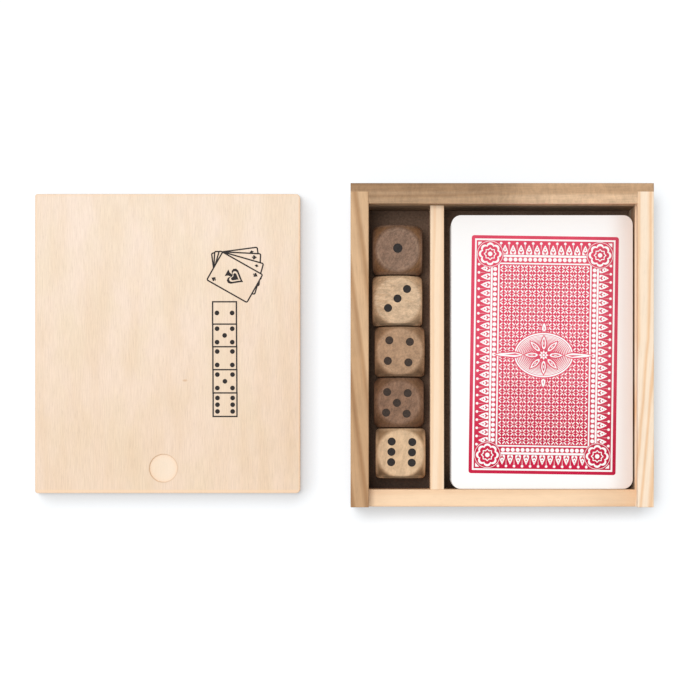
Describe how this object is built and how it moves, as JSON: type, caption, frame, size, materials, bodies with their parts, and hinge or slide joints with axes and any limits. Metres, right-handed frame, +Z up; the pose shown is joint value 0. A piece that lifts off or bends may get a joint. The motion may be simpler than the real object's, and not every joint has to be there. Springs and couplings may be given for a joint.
{
  "type": "playing card and dice box",
  "caption": "Wooden game box with its sliding lid laid beside it, a narrow bay with a row of loose dice and a wide bay with a deck of playing cards, back up.",
  "frame": {"origin": "middle of the box's underside", "axes": "+X to the right, from the dice bay to the card bay, +Y to the rear wall, +Z up out of the box"},
  "size_m": [0.1995, 0.1026, 0.0275],
  "materials": {
    "brown_pine": "bare, sanded",
    "pale_pine": "bare, sanded",
    "lid_wood": "bare, sanded",
    "brown_board": "bare fibreboard",
    "dark_die_wood": "bare, tumbled",
    "medium_die_wood": "bare, tumbled",
    "light_die_wood": "bare, tumbled",
    "pale_die_wood": "bare, tumbled",
    "card_paper": "smooth coated"
  },
  "bodies": {
    "box": {"base_panel": "brown_board", "left_wall": "brown_pine", "right_wall": "pale_pine", "rear_wall": "brown_pine", "front_wall": "pale_pine", "divider": "pale_pine"},
    "lid": {"lid_panel": "lid_wood"},
    "die_showing_1": {"die_showing_1": "dark_die_wood"},
    "die_showing_3": {"die_showing_3": "light_die_wood"},
    "die_showing_4": {"die_showing_4": "medium_die_wood"},
    "die_showing_5": {"die_showing_5": "dark_die_wood"},
    "die_showing_6": {"die_showing_6": "pale_die_wood"},
    "deck": {"lower_joker": "card_paper", "spade_number_cards": "card_paper", "spade_court_cards": "card_paper", "heart_number_cards": "card_paper", "heart_court_cards": "card_paper", "club_number_cards": "card_paper", "club_court_cards": "card_paper", "diamond_number_cards": "card_paper", "diamond_court_cards": "card_paper", "upper_joker": "card_paper"},
    "top_card": {"top_card": "card_paper"}
  },
  "joints": [
    {"name": "lid_slide", "type": "slide", "parent": "box", "child": "lid", "axis": [0, -1, 0], "range_m": [0, 0.0978]},
    {"name": "die_1_lift", "type": "slide", "parent": "box", "child": "die_showing_1", "axis": [0, 0, 1], "range_m": [0, 0.04]},
    {"name": "die_3_lift", "type": "slide", "parent": "box", "child": "die_showing_3", "axis": [0, 0, 1], "range_m": [0, 0.04]},
    {"name": "die_4_lift", "type": "slide", "parent": "box", "child": "die_showing_4", "axis": [0, 0, 1], "range_m": [0, 0.04]},
    {"name": "die_5_lift", "type": "slide", "parent": "box", "child": "die_showing_5", "axis": [0, 0, 1], "range_m": [0, 0.04]},
    {"name": "die_6_lift", "type": "slide", "parent": "box", "child": "die_showing_6", "axis": [0, 0, 1], "range_m": [0, 0.04]},
    {"name": "deck_lift", "type": "slide", "parent": "box", "child": "deck", "axis": [0, 0, 1], "range_m": [0, 0.045]},
    {"name": "top_card_lift", "type": "slide", "parent": "deck", "child": "top_card", "axis": [0, 0, 1], "range_m": [0, 0.03]}
  ]
}
